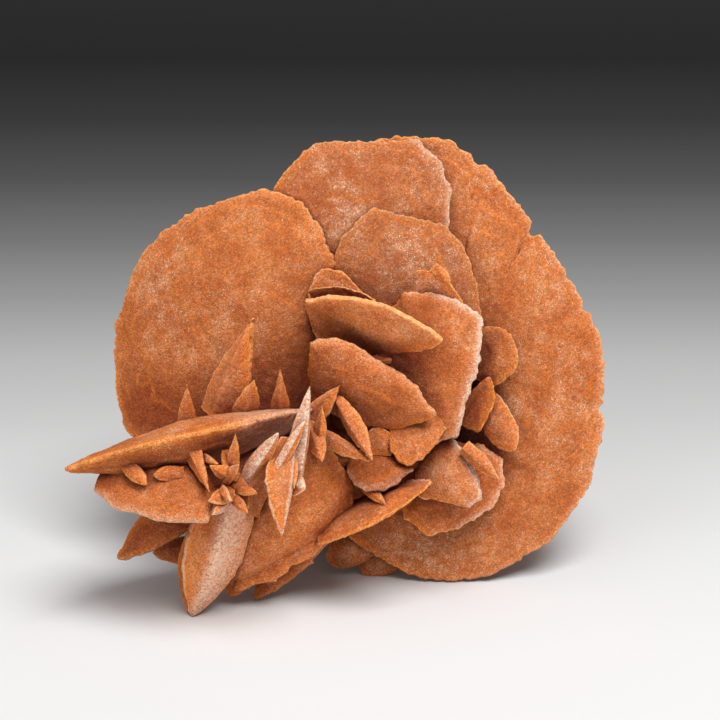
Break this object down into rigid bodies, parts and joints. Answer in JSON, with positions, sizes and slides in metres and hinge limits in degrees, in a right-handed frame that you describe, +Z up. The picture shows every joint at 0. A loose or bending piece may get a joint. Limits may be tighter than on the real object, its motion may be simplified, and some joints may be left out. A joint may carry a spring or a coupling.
{
  "type": "gypsum sand rose",
  "caption": "Desert rose: a cluster of lens-shaped, sand-coated gypsum blades grown through one another, leaning back on its lower edges.",
  "frame": {"origin": "centre of the bounding box on the floor, directly under the middle of the rose", "axes": "+X to the right of a viewer facing the blades, along the longest extent; +Y away from that viewer; +Z up"},
  "size_m": [0.1047, 0.081, 0.0853],
  "materials": {
    "orange_gypsum": "sandy, sugary, matte",
    "rust_gypsum": "sandy, matte, deeper in colour",
    "sandy_gypsum": "sandy with a dusty bloom",
    "pale_gypsum": "whitish dusted crystal faces"
  },
  "bodies": {
    "root": {"apron_plate": "orange_gypsum", "back_disc": "orange_gypsum", "blade_a": "sandy_gypsum", "blade_b": "rust_gypsum", "blade_c": "sandy_gypsum", "blade_e": "orange_gypsum", "centre_lens": "rust_gypsum", "centre_plate": "orange_gypsum", "collar_plate": "sandy_gypsum", "crown_leaf": "sandy_gypsum", "edge_blade": "orange_gypsum", "foot_leaf_left": "sandy_gypsum", "foot_leaf_right": "sandy_gypsum", "front_blade": "pale_gypsum", "inner_level": "rust_gypsum", "inner_level_upper": "rust_gypsum", "inner_slant_left": "rust_gypsum", "inner_upright_left": "rust_gypsum", "inner_upright_right": "rust_gypsum", "left_disc": "orange_gypsum", "lens_twin": "rust_gypsum", "long_lens": "orange_gypsum", "low_left_blade": "rust_gypsum", "low_left_leaf": "rust_gypsum", "low_plate": "rust_gypsum", "lower_disc": "orange_gypsum", "middle_disc": "sandy_gypsum", "nest_bed": "rust_gypsum", "nest_blade_long": "orange_gypsum", "nest_leaf_low": "rust_gypsum", "nest_leaf_round": "rust_gypsum", "nest_spike": "orange_gypsum", "pale_blade_left": "pale_gypsum", "pale_blade_long": "pale_gypsum", "pale_blade_short": "pale_gypsum", "pale_blade_upright": "pale_gypsum", "pale_leaf": "pale_gypsum", "rear_blade_left": "rust_gypsum", "rear_blade_right": "rust_gypsum", "rear_disc": "orange_gypsum", "rear_foot_left": "orange_gypsum", "rear_foot_right": "orange_gypsum", "rear_layer": "sandy_gypsum", "rear_low_plate": "sandy_gypsum", "rear_shelf": "sandy_gypsum", "right_leaf_lower": "sandy_gypsum", "right_leaf_middle": "rust_gypsum", "right_leaf_upper": "rust_gypsum", "round_disc": "rust_gypsum", "shelf_plate": "rust_gypsum", "side_blade": "orange_gypsum", "small_right_blade": "sandy_gypsum", "small_round_leaf": "sandy_gypsum", "spike_left": "orange_gypsum", "spike_middle": "orange_gypsum", "spike_right": "rust_gypsum", "tall_blade": "orange_gypsum", "under_plate": "orange_gypsum", "upper_lens": "orange_gypsum", "wedge_plate": "pale_gypsum"}
  },
  "joints": []
}
